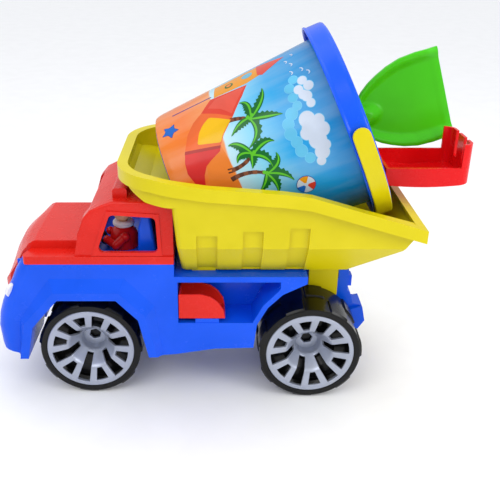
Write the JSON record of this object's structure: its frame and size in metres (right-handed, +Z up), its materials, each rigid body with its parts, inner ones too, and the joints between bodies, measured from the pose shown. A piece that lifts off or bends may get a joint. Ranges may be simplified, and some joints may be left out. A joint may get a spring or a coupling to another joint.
{
  "type": "toy tipper truck",
  "caption": "Toy tipper truck with an open cab and driver, a tipping bed, and a sand bucket, spade and rake carried in the bed.",
  "frame": {"origin": "on the ground, at the middle of the loaded truck's length and width", "axes": "+Z up, -X is the way the truck drives, +Y to its right"},
  "size_m": [0.3969, 0.1682, 0.3132],
  "materials": {
    "blue_plastic": "moulded gloss",
    "red_plastic": "moulded gloss",
    "yellow_plastic": "moulded gloss",
    "grey_plastic": "moulded satin gloss",
    "tyre_plastic": "moulded gloss",
    "green_plastic": "moulded gloss",
    "dark_red_plastic": "moulded gloss",
    "printed_film": "printed gloss film",
    "white_plastic": "moulded gloss",
    "driver_red": "moulded gloss",
    "skin": "moulded satin",
    "black_plastic": "moulded satin",
    "steel": "drawn wire"
  },
  "bodies": {
    "truck": {"chassis": "blue_plastic", "cab": "red_plastic", "seat": "blue_plastic", "cab_screws": "steel", "side_tray_left": "red_plastic", "side_tray_right": "red_plastic", "driver_body": "driver_red", "driver_neckerchief": "white_plastic", "driver_head": "skin", "driver_cap": "white_plastic", "dashboard": "black_plastic", "steering_wheel": "black_plastic"},
    "front_wheels": {"front_axle": "steel", "front_rim_left": "grey_plastic", "front_rim_right": "grey_plastic", "front_tyre_left": "tyre_plastic", "front_tyre_right": "tyre_plastic"},
    "rear_wheels": {"rear_axle": "steel", "rear_rim_left": "grey_plastic", "rear_rim_right": "grey_plastic", "rear_tyre_left": "tyre_plastic", "rear_tyre_right": "tyre_plastic"},
    "tipping_bed": {"bed": "yellow_plastic", "bed_pivot_pin": "steel"},
    "sand_bucket": {"bucket": "blue_plastic", "bucket_label": "printed_film"},
    "bail": {"bucket_handle": "yellow_plastic"},
    "sand_spade": {"spade": "green_plastic"},
    "sand_rake": {"rake": "dark_red_plastic"}
  },
  "joints": [
    {"name": "front_axle_spin", "type": "hinge", "parent": "truck", "child": "front_wheels", "pos_m": [-0.1213, 0, 0.045], "axis": [0, 1, 0], "continuous": true},
    {"name": "rear_axle_spin", "type": "hinge", "parent": "truck", "child": "rear_wheels", "pos_m": [0.0694, 0, 0.045], "axis": [0, 1, 0], "continuous": true},
    {"name": "bed_tip", "type": "hinge", "parent": "truck", "child": "tipping_bed", "pos_m": [0.0842, 0, 0.08], "axis": [0, 1, 0], "range_deg": [0, 50]},
    {"name": "bucket_lift", "type": "slide", "parent": "tipping_bed", "child": "sand_bucket", "axis": [0, 0, 1], "range_m": [0, 0.19]},
    {"name": "bail_swing", "type": "hinge", "parent": "sand_bucket", "child": "bail", "pos_m": [0.09625, 0, 0.23605], "axis": [0.0413, 0.9945, -0.096], "range_deg": [0, 18]},
    {"name": "spade_draw", "type": "slide", "parent": "sand_bucket", "child": "sand_spade", "axis": [0.9184, 0, 0.3955], "range_m": [0, 0.18]},
    {"name": "rake_draw", "type": "slide", "parent": "sand_bucket", "child": "sand_rake", "axis": [0.9184, 0, 0.3955], "range_m": [0, 0.18]}
  ]
}
